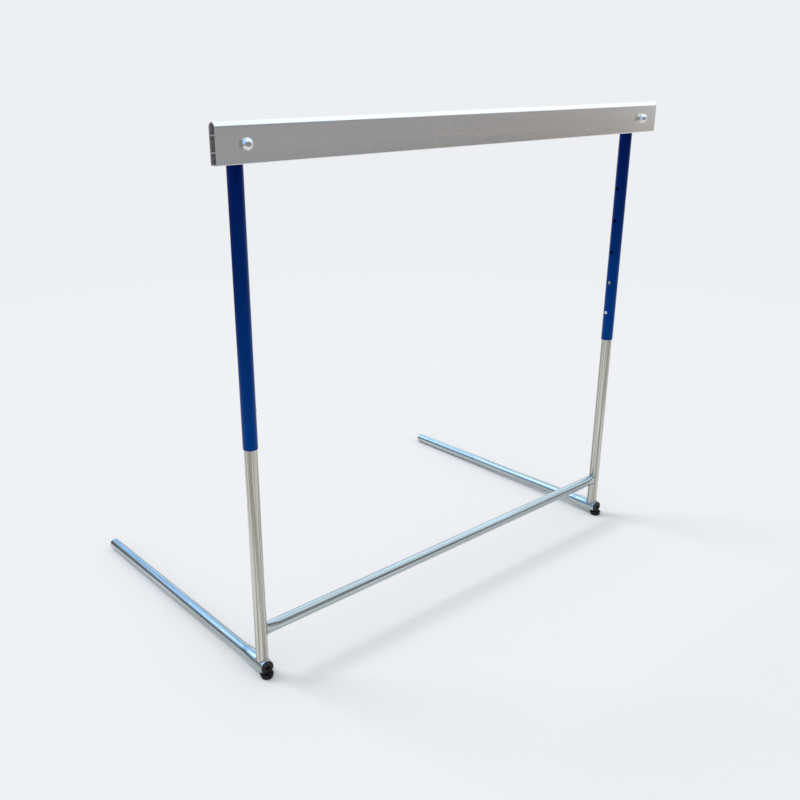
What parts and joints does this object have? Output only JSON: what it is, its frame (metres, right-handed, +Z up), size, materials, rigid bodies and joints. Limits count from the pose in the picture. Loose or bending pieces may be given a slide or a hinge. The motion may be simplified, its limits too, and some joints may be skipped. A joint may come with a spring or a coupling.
{
  "type": "track hurdle",
  "caption": "Free-standing track hurdle: a flat hollow crossbar on two telescoping uprights with snap buttons, a low cross tube and legs that run back along the ground.",
  "frame": {"origin": "middle of the footprint, on the ground", "axes": "+X along the crossbar to the right end, +Y from the crossbar towards the rear ends of the legs, +Z up"},
  "size_m": [1.2, 0.727, 1.067],
  "materials": {
    "satin_aluminium": "satin anodised",
    "blue_coat": "gloss powder coat",
    "zinc": "bright zinc plate",
    "bolt_steel": "polished",
    "spring_steel": "bare spring steel",
    "black_plastic": "moulded",
    "black_rubber": "moulded"
  },
  "bodies": {
    "frame": {"cross_tube": "zinc", "post_left": "zinc", "post_right": "zinc", "post_guide_left": "black_plastic", "post_guide_right": "black_plastic", "snap_spring_left": "spring_steel", "snap_spring_right": "spring_steel", "leg_socket_left": "zinc", "leg_socket_right": "zinc", "leg_left": "zinc", "leg_right": "zinc", "leg_front_plug_left": "black_plastic", "leg_front_plug_right": "black_plastic", "leg_rear_plug_left": "black_plastic", "leg_rear_plug_right": "black_plastic", "foot_left": "black_rubber", "foot_right": "black_rubber", "foot_screw_left": "zinc", "foot_screw_right": "zinc"},
    "bar_and_sleeves": {"crossbar": "satin_aluminium", "sleeve_left": "blue_coat", "sleeve_right": "blue_coat", "sleeve_cap_left": "black_plastic", "sleeve_cap_right": "black_plastic", "bar_saddle_left": "black_plastic", "bar_saddle_right": "black_plastic", "bar_bolt_left": "bolt_steel", "bar_bolt_right": "bolt_steel", "bar_washer_left": "zinc", "bar_washer_right": "zinc", "bar_nut_left": "zinc", "bar_nut_right": "zinc"},
    "button_left": {"snap_button_left": "bolt_steel"},
    "button_right": {"snap_button_right": "bolt_steel"}
  },
  "joints": [
    {"name": "height_slide", "type": "slide", "parent": "frame", "child": "bar_and_sleeves", "axis": [0, 0, 1], "range_m": [-0.3048, 0.1524]},
    {"name": "button_left_press", "type": "slide", "parent": "frame", "child": "button_left", "axis": [-1, 0, 0], "range_m": [0, 0.0048], "stiffness_N_per_m": 3000, "springref_m": -0.002, "deforming": ["snap_spring_left"]},
    {"name": "button_right_press", "type": "slide", "parent": "frame", "child": "button_right", "axis": [1, 0, 0], "range_m": [0, 0.0048], "stiffness_N_per_m": 3000, "springref_m": -0.002, "deforming": ["snap_spring_right"]}
  ]
}
